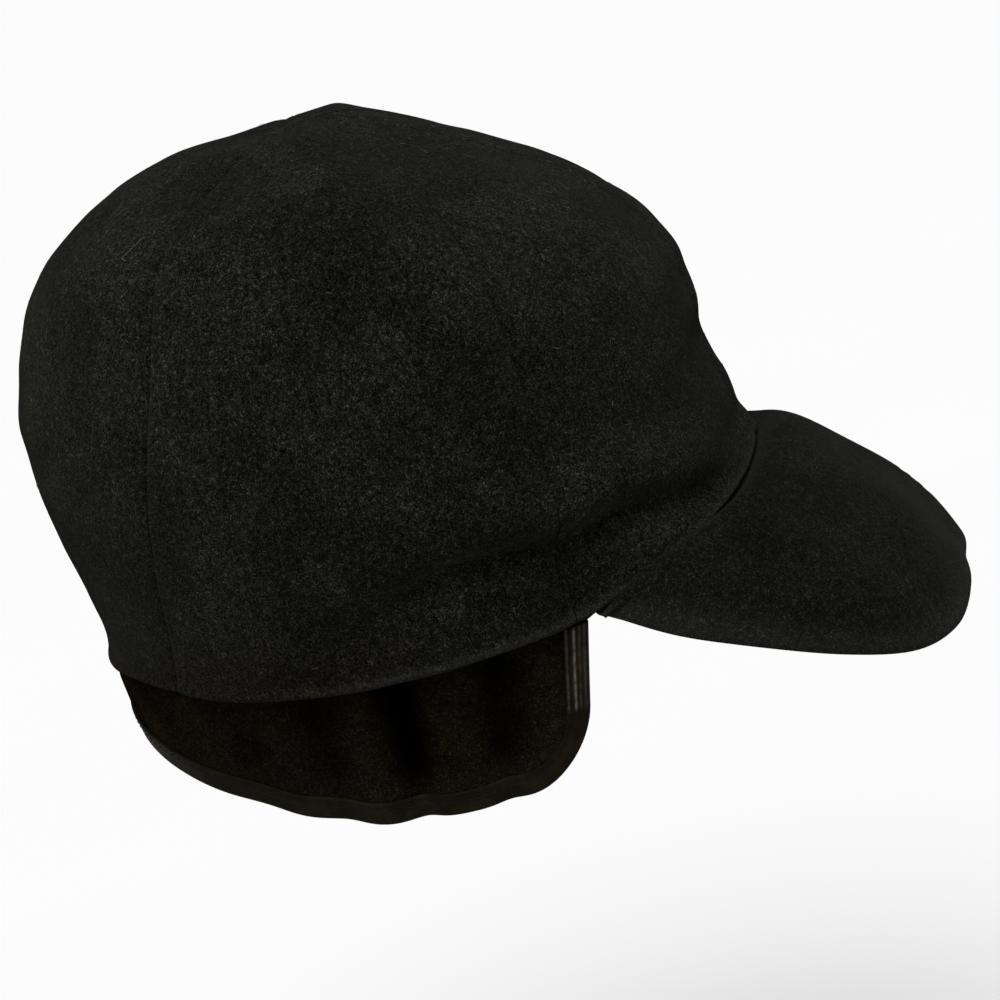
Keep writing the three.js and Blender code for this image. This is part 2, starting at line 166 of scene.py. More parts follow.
# Surfaces shared with the solids


def end_slope(near, far, near_secant, far_secant):
    slope = ((2 * near + far) * near_secant - near * far_secant) / (near + far)
    if slope * near_secant <= 0:
        return 0.0
    if near_secant * far_secant <= 0 and abs(slope) > 3 * abs(near_secant):
        return 3 * near_secant
    return slope


def smooth_column(places, values):
    """Monotone cubic through the rows of a table, after Fritsch and Carlson."""
    places = np.asarray(places, float)
    values = np.asarray(values, float)
    steps = np.diff(places)
    secants = np.diff(values) / steps
    slopes = np.zeros(len(places))
    for i in range(1, len(steps)):
        if secants[i - 1] * secants[i] > 0:
            before = 2 * steps[i] + steps[i - 1]
            after = steps[i] + 2 * steps[i - 1]
            slopes[i] = (before + after) / (before / secants[i - 1] + after / secants[i])
    slopes[0] = end_slope(steps[0], steps[1], secants[0], secants[1])
    slopes[-1] = end_slope(steps[-1], steps[-2], secants[-1], secants[-2])

    def value(place):
        at = np.clip(place, places[0], places[-1])
        i = np.clip(np.searchsorted(places, at, side="right") - 1, 0, len(steps) - 1)
        u = (at - places[i]) / steps[i]
        rise = values[i + 1] - values[i]
        leave = slopes[i] * steps[i]
        arrive = slopes[i + 1] * steps[i]
        return values[i] + u * (leave + u * (3 * rise - 2 * leave - arrive + u * (leave + arrive - 2 * rise)))

    return value


def column(table, name):
    return np.array([row[name] for row in table], float)


def profile_lengths():
    """Lengths along the crown's mean profile, from the rim to each row of its table."""
    mean = (column(CROWN_SECTIONS, "front") + column(CROWN_SECTIONS, "back")) / 2
    steps = np.hypot(np.diff(column(CROWN_SECTIONS, "height")), np.diff(mean))
    return np.concatenate([[0], np.cumsum(steps)])


PROFILE_LENGTH = profile_lengths()[-1]
PARTS = profile_lengths() / PROFILE_LENGTH
height_at = smooth_column(PARTS, column(CROWN_SECTIONS, "height"))
front_at = smooth_column(PARTS, column(CROWN_SECTIONS, "front"))
back_at = smooth_column(PARTS, column(CROWN_SECTIONS, "back"))
half_at = smooth_column(PARTS, column(CROWN_SECTIONS, "half"))
crease_height = smooth_column(column(CREASE, "angle"), column(CREASE, "height"))
crease_depth = smooth_column(column(CREASE, "angle"), column(CREASE, "depth"))
rim_line = smooth_column(column(RIM_LINE, "angle"), column(RIM_LINE, "lift"))

FINE_STEPS = 2001
FINE_PARTS = np.linspace(0, 1, FINE_STEPS)
FINE_HEIGHTS = height_at(FINE_PARTS)


def part_at(height):
    return np.interp(height, FINE_HEIGHTS, FINE_PARTS)


def section_plan(front, back, half, angle, square_front):
    forward = np.cos(np.radians(angle))
    aside = np.sin(np.radians(angle))
    reach = np.maximum(np.where(forward > 0, front, back), LEAST)
    power = np.where(forward > 0, square_front, SQUARENESS_BACK)
    total = (np.abs(forward) / reach) ** power + (np.abs(aside) / np.maximum(half, LEAST)) ** power
    radius = total ** (-1 / power)
    return -radius * aside, -radius * forward


def square_front_at(height):
    share = np.clip(1 - height / SQUARE_FRONT_HEIGHT, 0, 1)
    return SQUARENESS_BACK + (SQUARENESS_FRONT - SQUARENESS_BACK) * share**SQUARE_FRONT_POWER


def seam_lift(angle):
    share = np.minimum(np.abs(angle) / BRIM_CORNER, 1)
    return BRIM_SEAM_LIFT * (1 - share**BRIM_SEAM_POWER)


def rim_lift(angle, height):
    return rim_line(np.abs(angle)) * np.clip(1 - height / RIM_LINE_FADE, 0, 1) ** 2


def crown_smooth(angle, part):
    height = height_at(part)
    risen = height / CROWN_HEIGHT
    x, y = section_plan(front_at(part), back_at(part), half_at(part), angle, square_front_at(height))
    lift = seam_lift(angle) * (1 - risen) + rim_lift(angle, height)
    return np.stack([x, y - APEX_FORWARD * risen, height + lift], -1)


def unit(vectors):
    return vectors / np.maximum(np.linalg.norm(vectors, axis=-1, keepdims=True), 1e-12)


def surface_normal(point, across, along, step_across, step_along):
    sideways = point(across + step_across, along) - point(across - step_across, along)
    upward = point(across, along + step_along) - point(across, along - step_along)
    return unit(np.cross(upward, sideways))


ANGLE_STEP = 0.2
PART_STEP = 0.002


def crown_normal(angle, part):
    within = np.clip(part, PART_STEP, 1 - PART_STEP)
    return surface_normal(crown_smooth, angle, within, ANGLE_STEP, PART_STEP)


def crease_move(angle, height):
    depth = crease_depth(np.abs(angle))
    above = height - crease_height(np.abs(angle))
    width = np.where(above > 0, CREASE_WIDTH_ABOVE, CREASE_WIDTH_BELOW)
    groove = -np.exp(-((above / width) ** 2))
    lip = CREASE_LIP * np.exp(-(((above - CREASE_LIP_RISE) / CREASE_LIP_WIDTH) ** 2))
    rise = np.clip(height / CREASE_FADE, 0, 1)
    return rise**2 * (3 - 2 * rise) * depth * (groove + lip)


def rear_seam(part):
    share = np.clip(1 - height_at(part) / REAR_SEAM_HEIGHT, 0, 1)
    return REAR_SEAM_TOP + REAR_SEAM_SWEEP * share**REAR_SEAM_POWER


# Unevenness of each cloth: ripples by height and wavelength in millimetres.
CROWN_RIPPLES = [
    {"height": 0.55, "wavelength": 62, "seed": 3},
    {"height": 0.16, "wavelength": 17, "seed": 8},
]
BRIM_RIPPLES = [{"height": 0.25, "wavelength": 34, "seed": 21}]
FLAP_RIPPLES = [
    {"height": 0.22, "wavelength": 22, "seed": 31},
    {"height": 0.07, "wavelength": 8, "seed": 33},
]
RIPPLE_WAVES = 14


def ripple(points, wavelength, seed):
    """Smooth seeded relief between about -1 and 1, the same wherever pieces meet."""
    chance = np.random.default_rng(seed)
    directions = unit(chance.normal(size=(RIPPLE_WAVES, 3)))
    directions = directions * (2 * np.pi / wavelength) * chance.uniform(0.7, 1.4, (RIPPLE_WAVES, 1))
    phases = chance.uniform(0, 2 * np.pi, RIPPLE_WAVES)
    return np.sin(points @ directions.T + phases).sum(-1) / math.sqrt(RIPPLE_WAVES * 1.5)


def ripples(points, rows):
    return sum(row["height"] * ripple(points, row["wavelength"], row["seed"]) for row in rows)


def bell(distance, width):
    return np.exp(-((distance / width) ** 2))


def round_off(distance, radius):
    """How far a rounded edge falls below the face, at a distance from the edge."""
    inside = np.clip(radius - distance, 0, radius)
    return radius - np.sqrt(np.maximum(radius**2 - inside**2, 0))


# Meshes


def new_piece(name, points, faces, material, rub_and_painted_light=None):
    """A mesh from points in millimetres, which rides on the cap's one body. Rub holds wear and painted
    highlight above nought, and painted shade below it, at each point.
    """
    mesh = bpy.data.meshes.new(name)
    mesh.from_pydata((np.asarray(points) * MM).tolist(), [], faces)
    if rub_and_painted_light is not None:
        marks = mesh.attributes.new("rub_and_painted_light", "FLOAT", "POINT")
        marks.data.foreach_set("value", np.ascontiguousarray(rub_and_painted_light, np.float32))
    mesh.update()
    mesh.shade_smooth()
    piece = bpy.data.objects.new(name, mesh)
    bpy.context.scene.collection.objects.link(piece)
    piece.data.materials.append(material)
    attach(piece, "root")
    return piece


def grid_quads(start, columns, rows, flip=False):
    """Faces of a grid of points that is stored row by row from a start index."""
    row, col = np.meshgrid(np.arange(rows - 1), np.arange(columns - 1), indexing="ij")
    a = start + (row * columns + col).ravel()
    quads = np.stack([a, a + columns, a + columns + 1, a + 1], -1)
    return quads[:, ::-1] if flip else quads


def shell_faces(columns, rows):
    """Faces of a closed body between an outer and an inner grid."""
    layer = columns * rows
    faces = [grid_quads(0, columns, rows), grid_quads(layer, columns, rows, flip=True)]
    index = np.arange(layer).reshape(rows, columns)
    ring = np.concatenate([index[0, :], index[1:, -1], index[-1, -2::-1], index[-2:0:-1, 0]])
    after = np.roll(ring, -1)
    faces.append(np.stack([ring, after, after + layer, ring + layer], -1))
    return np.concatenate(faces).tolist()


def shell_piece(name, outer, inner, material, rub_and_painted_light=None):
    """Rub, if it is given, holds the wear, painted highlight and painted shade over the outer grid. The inner
    grid has none.
    """
    rows, columns = outer.shape[:2]
    points = np.concatenate([outer.reshape(-1, 3), inner.reshape(-1, 3)])
    marks = None if rub_and_painted_light is None else np.concatenate([rub_and_painted_light.ravel(), np.zeros(rub_and_painted_light.size)])
    return new_piece(name, points, shell_faces(columns, rows), material, marks)


def spacing(length, fine, coarse, near):
    """Places from 0 to 1 along a length, fine near both ends and coarse between."""
    ends = np.arange(0, near, fine)
    middle = np.linspace(near, length - near, max(int((length - 2 * near) / coarse), 2))
    return np.concatenate([ends, middle, (length - ends)[::-1]]) / length


def tube(points, normals, radius, sides=6):
    """Rings of a thin tube along a line, as points and quads counted from 0."""
    ahead = unit(np.gradient(points, axis=0))
    aside = unit(np.cross(ahead, normals))
    up = np.cross(aside, ahead)
    turn = np.linspace(0, 2 * np.pi, sides, endpoint=False)
    circle = np.cos(turn)[None, :, None] * aside[:, None] + np.sin(turn)[None, :, None] * up[:, None]
    rings = points[:, None] + circle * np.reshape(radius, (-1, 1, 1))
    faces = []
    for ring in range(len(points) - 1):
        for side in range(sides):
            here = ring * sides + side
            beside = ring * sides + (side + 1) % sides
            faces.append((here, beside, beside + sides, here + sides))
    last = (len(points) - 1) * sides
    faces.append(tuple(range(sides - 1, -1, -1)))
    faces.append(tuple(range(last, last + sides)))
    return rings.reshape(-1, 3), faces


class Strands:
    """Gathers many thin tubes into one mesh."""

    def __init__(self):
        self.points = []
        self.faces = []
        self.count = 0

    def add(self, points, normals, radius, sides=6):
        more, faces = tube(points, normals, radius, sides)
        self.faces += [tuple(i + self.count for i in face) for face in faces]
        self.points.append(more)
        self.count += len(more)

    def piece(self, name, material, slot):
        return new_piece(name, np.concatenate(self.points), self.faces, material)


STITCH_START = 0.5
STITCH_ARCH = np.array([-0.25, 0.05, 0.12, 0.05, -0.25])
STITCH_LENGTH = 2.3
STITCH_PITCH = 3.1
THREAD_RADIUS = 0.17


def add_stitches(strands, line, normals, lift):
    """One row of stitches along a line on the cloth. Each rises in its middle and dives at its ends."""
    lengths = np.concatenate([[0], np.cumsum(np.linalg.norm(np.diff(line, axis=0), axis=1))])
    for start in np.arange(STITCH_START, lengths[-1] - STITCH_LENGTH, STITCH_PITCH):
        at = start + np.linspace(0, STITCH_LENGTH, len(STITCH_ARCH))
        place = np.stack([np.interp(at, lengths, line[:, k]) for k in range(3)], -1)
        normal = unit(np.stack([np.interp(at, lengths, normals[:, k]) for k in range(3)], -1))
        strands.add(place + normal * (STITCH_ARCH[:, None] + lift), normal, THREAD_RADIUS)


# Materials


class Nodes:
    """Short calls for a material's node tree. Textures read the piece's own coordinates in millimetres."""

    def __init__(self, name):
        self.material = bpy.data.materials.new(name)
        self.material.use_nodes = True
        self.tree = self.material.node_tree
        self.shader = self.tree.nodes["Principled BSDF"]
        where = self.tree.nodes.new("ShaderNodeTexCoord")
        scaled = self.tree.nodes.new("ShaderNodeVectorMath")
        scaled.operation = "SCALE"
        scaled.inputs["Scale"].default_value = 1 / MM
        self.link(where.outputs["Object"], scaled.inputs[0])
        self.place = scaled.outputs[0]

    def link(self, source, target):
        self.tree.links.new(source, target)

    def noise(self, scale, detail=3.0, roughness=0.55, distortion=0.0):
        node = self.tree.nodes.new("ShaderNodeTexNoise")
        node.inputs["Scale"].default_value = scale
        node.inputs["Detail"].default_value = detail
        node.inputs["Roughness"].default_value = roughness
        node.inputs["Distortion"].default_value = distortion
        self.link(self.place, node.inputs["Vector"])
        return node.outputs["Fac"]

    def along(self, axis):
        node = self.tree.nodes.new("ShaderNodeSeparateXYZ")
        self.link(self.place, node.inputs[0])
        return node.outputs[axis]

    def rub_and_painted_light(self):
        node = self.tree.nodes.new("ShaderNodeAttribute")
        node.attribute_name = "rub_and_painted_light"
        return node.outputs["Fac"]

    def creases(self, scale):
        node = self.tree.nodes.new("ShaderNodeTexVoronoi")
        node.feature = "DISTANCE_TO_EDGE"
        node.inputs["Scale"].default_value = scale
        self.link(self.place, node.inputs["Vector"])
        return node.outputs["Distance"]

    def span(self, value, low, high, to_low=0.0, to_high=1.0):
        node = self.tree.nodes.new("ShaderNodeMapRange")
        node.interpolation_type = "SMOOTHSTEP"
        self.link(value, node.inputs["Value"])
        node.inputs["From Min"].default_value = low
        node.inputs["From Max"].default_value = high
        node.inputs["To Min"].default_value = to_low
        node.inputs["To Max"].default_value = to_high
        return node.outputs["Result"]

    def math(self, operation, first, second):
        node = self.tree.nodes.new("ShaderNodeMath")
        node.operation = operation
        for socket, value in zip(node.inputs, (first, second)):
            if isinstance(value, (int, float)):
                socket.default_value = value
            else:
                self.link(value, socket)
        return node.outputs[0]

    def mix(self, factor, first, second, blend="MIX"):
        node = self.tree.nodes.new("ShaderNodeMix")
        node.data_type = "RGBA"
        node.blend_type = blend
        factor_socket, first_socket, second_socket = node.inputs[0], node.inputs[6], node.inputs[7]
        for socket, value in ((factor_socket, factor), (first_socket, first), (second_socket, second)):
            if isinstance(value, (int, float)):
                socket.default_value = value
            elif isinstance(value, tuple):
                socket.default_value = (*value, 1)
            else:
                self.link(value, socket)
        return node.outputs[2]

    def bump(self, height, strength, distance, under=None):
        node = self.tree.nodes.new("ShaderNodeBump")
        node.inputs["Strength"].default_value = strength
        node.inputs["Distance"].default_value = distance * MM
        self.link(height, node.inputs["Height"])
        if under is not None:
            self.link(under, node.inputs["Normal"])
        return node.outputs["Normal"]

    def finish(self, colour, roughness, normal, **constants):
        """Links the three maps, and sets each constant on the shader's own socket."""
        self.link(colour, self.shader.inputs["Base Color"])
        self.link(roughness, self.shader.inputs["Roughness"])
        self.link(normal, self.shader.inputs["Normal"])
        for name, value in constants.items():
            self.shader.inputs[name.replace("_", " ").title().replace("Ior", "IOR")].default_value = value
        return self.material


def wool(name, colours, tints, nap=1.0, sheen=0.02, rim_painted_shade=(1.0, 1.0, 1.0)):
    """Napped wool: short curly fibres and pale flecks of under a millimetre, in clouds of two tints."""
    nodes = Nodes(name)
    clouds = nodes.span(nodes.noise(0.035, 5, 0.6), 0.36, 0.64)
    patches = nodes.span(nodes.noise(0.07, 4, 0.6, 0.6), 0.4, 0.6)
    tufts = nodes.span(nodes.noise(0.5, 3, 0.65, 0.8), 0.38, 0.66)
    curls = nodes.span(nodes.noise(1.2, 2, 0.6, 1.4), 0.48, 0.66)
    grain = nodes.span(nodes.noise(2.3, 2, 0.6), 0.45, 0.64)
    pile = nodes.math("ADD", nodes.math("MULTIPLY", curls, 0.6), nodes.math("MULTIPLY", tufts, 0.15))
    pile = nodes.math("ADD", pile, nodes.math("MULTIPLY", grain, 0.25))
    flecks = nodes.math("MULTIPLY", nodes.math("MULTIPLY", curls, grain), tufts)
    colour = nodes.mix(pile, colours["dark"], colours["light"])
    colour = nodes.mix(nodes.math("MULTIPLY", flecks, 0.8), colour, colours["fleck"])
    colour = nodes.mix(1.0, colour, nodes.mix(patches, *tints), "MULTIPLY")
    colour = nodes.mix(nodes.span(clouds, 0, 1, 0.4, 0.0), colour, (0, 0, 0))
    # Painted shade: near the rim and away from the front, the colour is multiplied by a darker, browner
    # colour.
    near_rim = nodes.span(nodes.along("Z"), 0, 30, 1.0, 0.0)
    behind = nodes.span(nodes.along("Y"), -30, 45, 0.3, 1.0)
    shaded = nodes.mix(1.0, colour, rim_painted_shade, "MULTIPLY")
    colour = nodes.mix(nodes.math("MULTIPLY", near_rim, behind), colour, shaded)
    # Above nought the rub attribute mixes in a paler colour, for wear and painted light; below nought it
    # darkens to black, a painted shade in the flap's folds.
    paling = nodes.math("MULTIPLY", nodes.rub_and_painted_light(), nodes.span(pile, 0, 1, 0.35, 1.0))
    colour = nodes.mix(paling, colour, colours["paler"])
    colour = nodes.mix(nodes.span(nodes.rub_and_painted_light(), -1, 0, 1.0, 0.0), colour, (0, 0, 0))
    relief = nodes.math("ADD", pile, nodes.math("MULTIPLY", tufts, 0.5))
    normal = nodes.bump(relief, 0.8 * nap, 0.45)
    roughness = nodes.span(grain, 0, 1, 0.88, 1.0)
    return nodes.finish(
        colour,
        roughness,
        normal,
        specular_ior_level=0.0,
        sheen_weight=sheen,
        sheen_roughness=0.5,
        sheen_tint=(0.8, 0.82, 0.75, 1),
    )


def leather(name, dark, light, pale):
    """Dark edging leather: fine creased grain in patches, with ribs made pale by wear and by a painted
    highlight.
    """
    nodes = Nodes(name)
    paler = nodes.span(nodes.noise(0.12, 4, 0.6), 0.42, 0.66)
    grain = nodes.creases(2.4)
    fine = nodes.noise(3.5, 3, 0.6)
    scuffs = nodes.span(fine, 0.35, 0.65)
    streaks = nodes.span(nodes.noise(0.5, 3, 0.6), 0.35, 0.6, 0.35, 1.0)
    colour = nodes.mix(nodes.math("MULTIPLY", paler, scuffs), dark, light)
    marks = nodes.math("MULTIPLY", streaks, nodes.span(fine, 0.3, 0.7, 0.55, 1.0))
    # Paler ribs: wear, and a painted highlight on the upright front.
    paling = nodes.math("MULTIPLY", nodes.rub_and_painted_light(), marks)
    colour = nodes.mix(paling, colour, pale)
    normal = nodes.bump(nodes.span(grain, 0.0, 0.25), 0.35, 0.12)
    normal = nodes.bump(fine, 0.3, 0.15, normal)
    roughness = nodes.span(fine, 0.3, 0.7, 0.5, 0.7)
    return nodes.finish(colour, roughness, normal, specular_ior_level=0.02)


def thread(name, dark, light):
    nodes = Nodes(name)
    twist = nodes.noise(3.0, 2, 0.5)
    colour = nodes.mix(nodes.span(twist, 0.3, 0.7), dark, light)
    normal = nodes.bump(twist, 0.3, 0.1)
    return nodes.finish(colour, nodes.span(twist, 0.3, 0.7, 0.6, 0.85), normal, specular_ior_level=0.06)


def floor_finish(name, light):
    nodes = Nodes(name)
    mottle = nodes.noise(0.004, 2, 0.5)
    tint = tuple(0.985 * value for value in light)
    colour = nodes.mix(mottle, light, tint)
    normal = nodes.bump(nodes.noise(0.4, 2, 0.5), 0.02, 0.2)
    return nodes.finish(colour, nodes.span(mottle, 0, 1, 0.85, 0.95), normal, specular_ior_level=0.1)


GREENISH = ((0.96, 0.97, 0.96), (1.0, 1.0, 0.8))
BROWNISH = ((0.92, 0.86, 0.86), (1.0, 0.9, 0.6))
# Each paler colour is mixed in where the rub attribute is above nought: wear on the peak's edge, wear and
# painted highlight on the crown's hem, painted light near the flap's lower edge.
CROWN_COLOURS = {
    "dark": (0.0005, 0.0005, 0.0005),
    "light": (0.0185, 0.0186, 0.0168),
    "fleck": (0.055, 0.055, 0.05),
    "paler": (0.03, 0.03, 0.026),
}
PEAK_COLOURS = {
    "dark": (0.0012, 0.0012, 0.0011),
    "light": (0.0085, 0.0086, 0.0079),
    "fleck": (0.024, 0.024, 0.022),
    "paler": (0.034, 0.034, 0.031),
}
FLAP_COLOURS = {
    "dark": (0.0026, 0.002, 0.0014),
    "light": (0.0125, 0.0108, 0.0078),
    "fleck": (0.024, 0.022, 0.018),
    "paler": (0.0152, 0.012, 0.0052),
}
# The last colour given to the crown wool is a painted shade: darker and browner low on the crown, away from
# the front.
CROWN_WOOL = wool("crown_wool", CROWN_COLOURS, GREENISH, rim_painted_shade=(0.72, 0.6, 0.48))
PEAK_WOOL = wool("peak_wool", PEAK_COLOURS, GREENISH, 0.7)
FLAP_WOOL = wool("flap_wool", FLAP_COLOURS, BROWNISH, 0.7, 0.0)
EDGING = leather("edging_leather", (0.0034, 0.0027, 0.001), (0.0092, 0.0074, 0.0029), (0.08, 0.075, 0.065))
THREAD = thread("black_thread", (0.001, 0.001, 0.0008), (0.004, 0.004, 0.0034))
LINT = thread("lint", (0.03, 0.0295, 0.027), (0.08, 0.078, 0.07))


# Crown

RELIEF_FADE = 10
SEAM_VALLEY = 0.6
SEAM_ROLL = 1.5
TOPSTITCH_IN = 2.6
TOPSTITCH_DENT = 0.2
TOPSTITCH_WIDTH = 0.7
HEM_ROLL = 0.75
HEM_ROLL_UP = 1.5
HEM_ROLL_WIDTH = 1.2
HEM_GROOVE = 0.4
HEM_GROOVE_UP = 3.7
HEM_GROOVE_WIDTH = 0.9
HEM_FLAT = 0.25
HEM_EASE = 4
HEM_FLAT_BEHIND = 145
HEM_EASE_BEHIND = 20
# A paler band on the hem's roll, fading towards the back: wear, and a painted highlight where the roll
# catches the light.
HEM_RUB_AND_HIGHLIGHT = 0.4
HEM_RUB_AND_HIGHLIGHT_END = 115
HEM_RUB_AND_HIGHLIGHT_FADE = 25
FAR_FROM_SEAM = 20
TIP_PART = 0.998

# Soft level folds across the forehead.
BROW_FOLDS = [
    {"height": 62, "out": -0.9, "width": 5.5},
    {"height": 50, "out": 0.8, "width": 6},
    {"height": 38, "out": -0.7, "width": 6},
    {"height": 23, "out": 0.7, "width": 5},
    {"height": 10, "out": -1.3, "width": 5},
]
BROW_SPREAD = 34

# A short tuck that runs down from the crease to each of the peak's corners.
TUCK_ANGLE = 53
TUCK_LEAN = 0.36
TUCK_DEPTH = 1.7
TUCK_WIDTH = 3.2
TUCK_HEIGHT = 11
TUCK_LENGTH = 8.5


def crown_relief(angle, part, points):
    """Soft unevenness of the cloth, in millimetres out."""
    height = height_at(part)
    fade = np.clip(part * PROFILE_LENGTH / RELIEF_FADE, 0, 1)
    brow = sum(fold["out"] * bell(height - fold["height"], fold["width"]) for fold in BROW_FOLDS)
    beside_tuck = np.abs(angle) - TUCK_ANGLE - TUCK_LEAN * height
    tuck = -TUCK_DEPTH * bell(beside_tuck, TUCK_WIDTH) * bell(height - TUCK_HEIGHT, TUCK_LENGTH)
    soft = ripples(points, CROWN_RIPPLES) + brow * bell(angle, BROW_SPREAD)
    return fade * soft + tuck + crease_move(angle, height)


def hem_relief(angle, above):
    """The turned hem's roll and the groove over it, flatter behind and where the peak is sewn on."""
    free = np.clip((np.abs(angle) - BRIM_CORNER + HEM_EASE) / HEM_EASE, HEM_FLAT, 1)
    free = free * np.clip((HEM_FLAT_BEHIND - np.abs(angle)) / HEM_EASE_BEHIND, HEM_FLAT, 1)
    roll = HEM_ROLL * bell(above - HEM_ROLL_UP, HEM_ROLL_WIDTH)
    return free * (roll - HEM_GROOVE * bell(above - HEM_GROOVE_UP, HEM_GROOVE_WIDTH))


def seam_relief(distance):
    """The valley along a sewn seam, and the dent under each row of topstitching beside it."""
    stitched = TOPSTITCH_DENT * bell(distance - TOPSTITCH_IN, TOPSTITCH_WIDTH)
    return -SEAM_VALLEY * bell(distance, SEAM_ROLL) - stitched


def crown_point(angle, part, distance, inset=0.0):
    """A point on the outer cloth, moved in by an inset. The distance is that to the nearest seam."""
    points = crown_smooth(angle, part)
    hem = hem_relief(angle, part * PROFILE_LENGTH)
    out = crown_relief(angle, part, points) + seam_relief(distance) + hem - inset
    return points + crown_normal(angle, part) * out[..., None]


def middle_seam(part):
    return 0 * part


def front_seam(part):
    return FRONT_SEAM + 0 * part


def back_seam(part):
    return 180 + 0 * part


def other_side(seam):
    return lambda part: -seam(part)


GORES = [
    {"name": "front_right", "from": middle_seam, "to": front_seam},
    {"name": "side_right", "from": front_seam, "to": rear_seam},
    {"name": "back_right", "from": rear_seam, "to": back_seam},
    {"name": "front_left", "from": other_side(front_seam), "to": middle_seam},
    {"name": "side_left", "from": other_side(rear_seam), "to": other_side(front_seam)},
    {"name": "back_left", "from": other_side(back_seam), "to": other_side(rear_seam)},
]
SEAMS = (middle_seam, front_seam, rear_seam, back_seam, other_side(rear_seam), other_side(front_seam))


LEAST_RADIUS = 0.5


def plan_radius(angle, part):
    points = crown_smooth(angle, part)
    middle = APEX_FORWARD * height_at(part) / CROWN_HEIGHT
    return np.hypot(points[..., 0], points[..., 1] + middle)


# Spacing of a gore's rows up the crown, and of its columns from seam to seam, in millimetres.
GORE_ROWS = {"length": PROFILE_LENGTH, "fine": 0.25, "coarse": 1.5, "near": 3.0}
GORE_COLUMNS = {"length": 96, "fine": 0.45, "coarse": 1.6, "near": 5.0}


def build_gore(gore):
    part = spacing(**GORE_ROWS)[:, None] * TIP_PART
    across = spacing(**GORE_COLUMNS)[None, :]
    start = gore["from"](part)
    stop = gore["to"](part)
    radius = plan_radius((start + stop) / 2, part)
    gap = np.degrees(SEAM_GAP / 2 / np.maximum(radius, LEAST_RADIUS))
    angle = start + gap + (stop - start - 2 * gap) * across
    part = part + 0 * angle
    degree = np.radians(1) * radius
    distance = np.minimum(angle - start, stop - angle) * degree
    rounded = round_off(part * PROFILE_LENGTH, CLOTH / 2)
    outer = crown_point(angle, part, distance, rounded)
    inner = crown_point(angle, part, distance + FAR_FROM_SEAM, CLOTH - rounded)
    name = f"crown_panel_{gore['name']}"
    # Paler band on the hem's roll: wear, and a painted highlight of the roll catching the light.
    towards_front = np.clip((HEM_RUB_AND_HIGHLIGHT_END - np.abs(angle)) / HEM_RUB_AND_HIGHLIGHT_FADE, 0, 1)
    rub_and_painted_light = HEM_RUB_AND_HIGHLIGHT * towards_front * bell(part * PROFILE_LENGTH - HEM_ROLL_UP, HEM_ROLL_WIDTH)
    piece = shell_piece(f"{name}_cloth", outer, inner, CROWN_WOOL, rub_and_painted_light)
    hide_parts(name)
    return piece


# A seam's topstitching runs between these parts of the crown.
STITCHED_FROM = 0.015
STITCHED_TO = 0.955
SEAM_POINTS = 220
LEAST_TURN_RADIUS = 4.0
TOPSTITCH_SUNK = -0.08


def seam_line(seam, offset):
    """A line on the crown beside a seam, at an offset in millimetres towards the back."""
    part = np.linspace(STITCHED_FROM, STITCHED_TO, SEAM_POINTS)
    angle = seam(part)
    moved = angle + np.degrees(offset / np.maximum(plan_radius(angle, part), LEAST_TURN_RADIUS))
    distance = np.full(SEAM_POINTS, abs(offset))
    return crown_point(moved, part, distance), crown_normal(moved, part)


def build_crown_stitches():
    strands = Strands()
    for seam in SEAMS:
        for side in (-1, 1):
            line, normals = seam_line(seam, side * TOPSTITCH_IN)
            add_stitches(strands, line, normals, TOPSTITCH_SUNK)
    return strands.piece("crown_topstitches", THREAD, "crown_wool")


# Peak

BRIM_ROWS_IN = (12.0, 15.6, 19.2)
BRIM_ROW_DENT = 0.28
BRIM_ROW_WIDTH = 0.9
BRIM_EDGE_RUB = 0.3
BRIM_EDGE_RUB_WIDTH = 3
BRIM_ALLOWANCE = [
    {"inward": 1.1, "rise": 0},
    {"inward": 2.6, "rise": 0.1},
    {"inward": 3.1, "rise": 1},
    {"inward": 3.4, "rise": 3},
]


def hermite(points, share):
    """Catmull-Rom curve through points, at a share from 0 to 1."""
    spans = len(points) - 1
    place = np.clip(share, 0, 1) * spans
    i = np.minimum(place.astype(int), spans - 1)
    u = (place - i)[..., None]
    more = np.vstack([2 * points[0] - points[1], points, 2 * points[-1] - points[-2]])
    before, start, stop, after = more[i], more[i + 1], more[i + 2], more[i + 3]
    leave = (stop - before) / 2
    arrive = (after - start) / 2
    rise = stop - start
    return start + u * (leave + u * (3 * rise - 2 * leave - arrive + u * (leave + arrive - 2 * rise)))


def brim_edge_points():
    aside, forward, height = (column(BRIM_EDGE, name) for name in ("aside", "forward", "height"))
    half = np.stack([-aside, -forward, height], -1)
    corner = crown_smooth(np.array(BRIM_CORNER), np.array(0.0))
    half = np.vstack([half, [corner[0], corner[1], 0]])
    return np.vstack([half[:0:-1] * (-1, 1, 1), half])


BRIM_FREE_EDGE = brim_edge_points()


def brim_seam(share):
    return crown_smooth(share * BRIM_CORNER, 0 * share)


def brim_smooth(share, out):
    share = share + 0 * out
    out = out + 0 * share
    seam = brim_seam(share)
    points = seam + (hermite(BRIM_FREE_EDGE, (share + 1) / 2) - seam) * out[..., None]
    along = 2 * out - 1
    bulge = BRIM_BULGE * (1 - np.abs(along) ** BRIM_BULGE_FULLNESS) * (1 - share**BRIM_BULGE_END)
    points[..., 2] += bulge - BRIM_UNDER_CROWN
    return points


NORMAL_SHARE = 0.97
BRIM_STEP = 0.01


def brim_normal(share, out):
    near = np.clip(share, -NORMAL_SHARE, NORMAL_SHARE) + 0 * out
    within = np.clip(out, BRIM_STEP, 1 - BRIM_STEP) + 0 * share
    normal = surface_normal(brim_smooth, near, within, BRIM_STEP, BRIM_STEP)
    return normal * np.where(normal[..., 2:] < 0, -1, 1)


